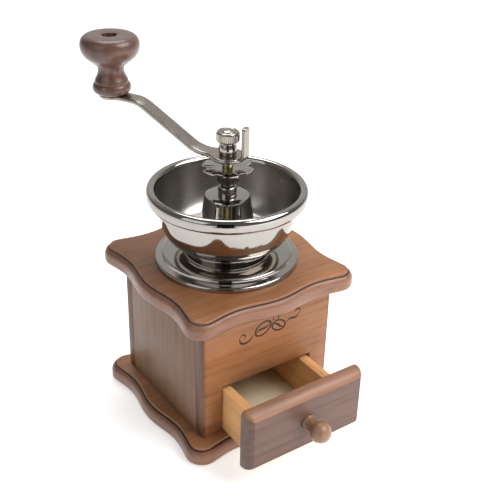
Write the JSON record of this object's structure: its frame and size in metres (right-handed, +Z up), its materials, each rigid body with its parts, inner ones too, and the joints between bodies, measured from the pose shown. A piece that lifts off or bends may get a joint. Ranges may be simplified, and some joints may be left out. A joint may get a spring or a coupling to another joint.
{
  "type": "burr coffee grinder",
  "caption": "Hand-cranked burr coffee mill: open metal hopper on a scalloped wooden box with a pull-out drawer for the grounds.",
  "frame": {"origin": "centre of the base board's flat underside, on the shaft's axis", "axes": "+Z up along the shaft; the drawer opens towards -Y"},
  "size_m": [0.1268, 0.2083, 0.2446],
  "materials": {
    "stained_wood": "satin lacquer over brown stain",
    "dark_stained_wood": "satin lacquer over dark brown stain",
    "pale_wood": "bare sanded wood",
    "plywood": "bare plywood",
    "bright_plate": "polished nickel plate",
    "burr_iron": "hardened iron",
    "zinc_steel": "yellow zinc plate on steel",
    "plain_steel": "bright zinc plate"
  },
  "bodies": {
    "frame": {"base_board": "stained_wood", "front_panel": "stained_wood", "left_panel": "stained_wood", "right_panel": "stained_wood", "back_panel": "stained_wood", "top_board": "stained_wood", "corner_blocks": "pale_wood", "drawer_guides": "pale_wood", "base_screws": "plain_steel", "collar_ring": "bright_plate", "hopper_bowl": "bright_plate", "burr_housing": "burr_iron", "housing_screws": "plain_steel", "bridge": "bright_plate", "bridge_screws": "plain_steel", "bearing_sleeve": "bright_plate", "shaft_guide": "plain_steel", "burr_spring": "plain_steel"},
    "washer": {"spring_washer": "plain_steel"},
    "rotor": {"shaft": "zinc_steel", "inner_burr": "burr_iron", "burr_washer": "plain_steel", "burr_nut": "plain_steel", "crank_arm": "bright_plate", "cap_nut": "bright_plate", "knob_screw": "zinc_steel"},
    "star": {"star_nut": "bright_plate"},
    "knob": {"crank_knob": "dark_stained_wood", "knob_bush": "zinc_steel"},
    "drawer": {"drawer_front": "dark_stained_wood", "drawer_left_side": "pale_wood", "drawer_right_side": "pale_wood", "drawer_back": "pale_wood", "drawer_bottom": "plywood", "drawer_knob": "stained_wood", "drawer_knob_screw": "plain_steel"}
  },
  "joints": [
    {"name": "drawer_slide", "type": "slide", "parent": "frame", "child": "drawer", "axis": [0, -1, 0], "range_m": [-0.0351, 0.036]},
    {"name": "grind_lift", "type": "slide", "parent": "frame", "child": "washer", "axis": [0, 0, 1], "range_m": [-0.0005, 0.0005], "deforming": ["burr_spring"]},
    {"name": "crank_turn", "type": "hinge", "parent": "washer", "child": "rotor", "pos_m": [0, 0, 0.18], "axis": [0, 0, 1], "continuous": true},
    {"name": "star_turn", "type": "hinge", "parent": "rotor", "child": "star", "pos_m": [0, 0, 0.173], "axis": [0, 0, 1], "range_deg": [-180, 180]},
    {"name": "knob_spin", "type": "hinge", "parent": "rotor", "child": "knob", "pos_m": [-0.04014, 0.07549, 0.2072], "axis": [0, 0, 1], "continuous": true}
  ],
  "couplings": [
    {"joint": "star_turn", "follows": "grind_lift", "rad_per_m": -6280}
  ]
}
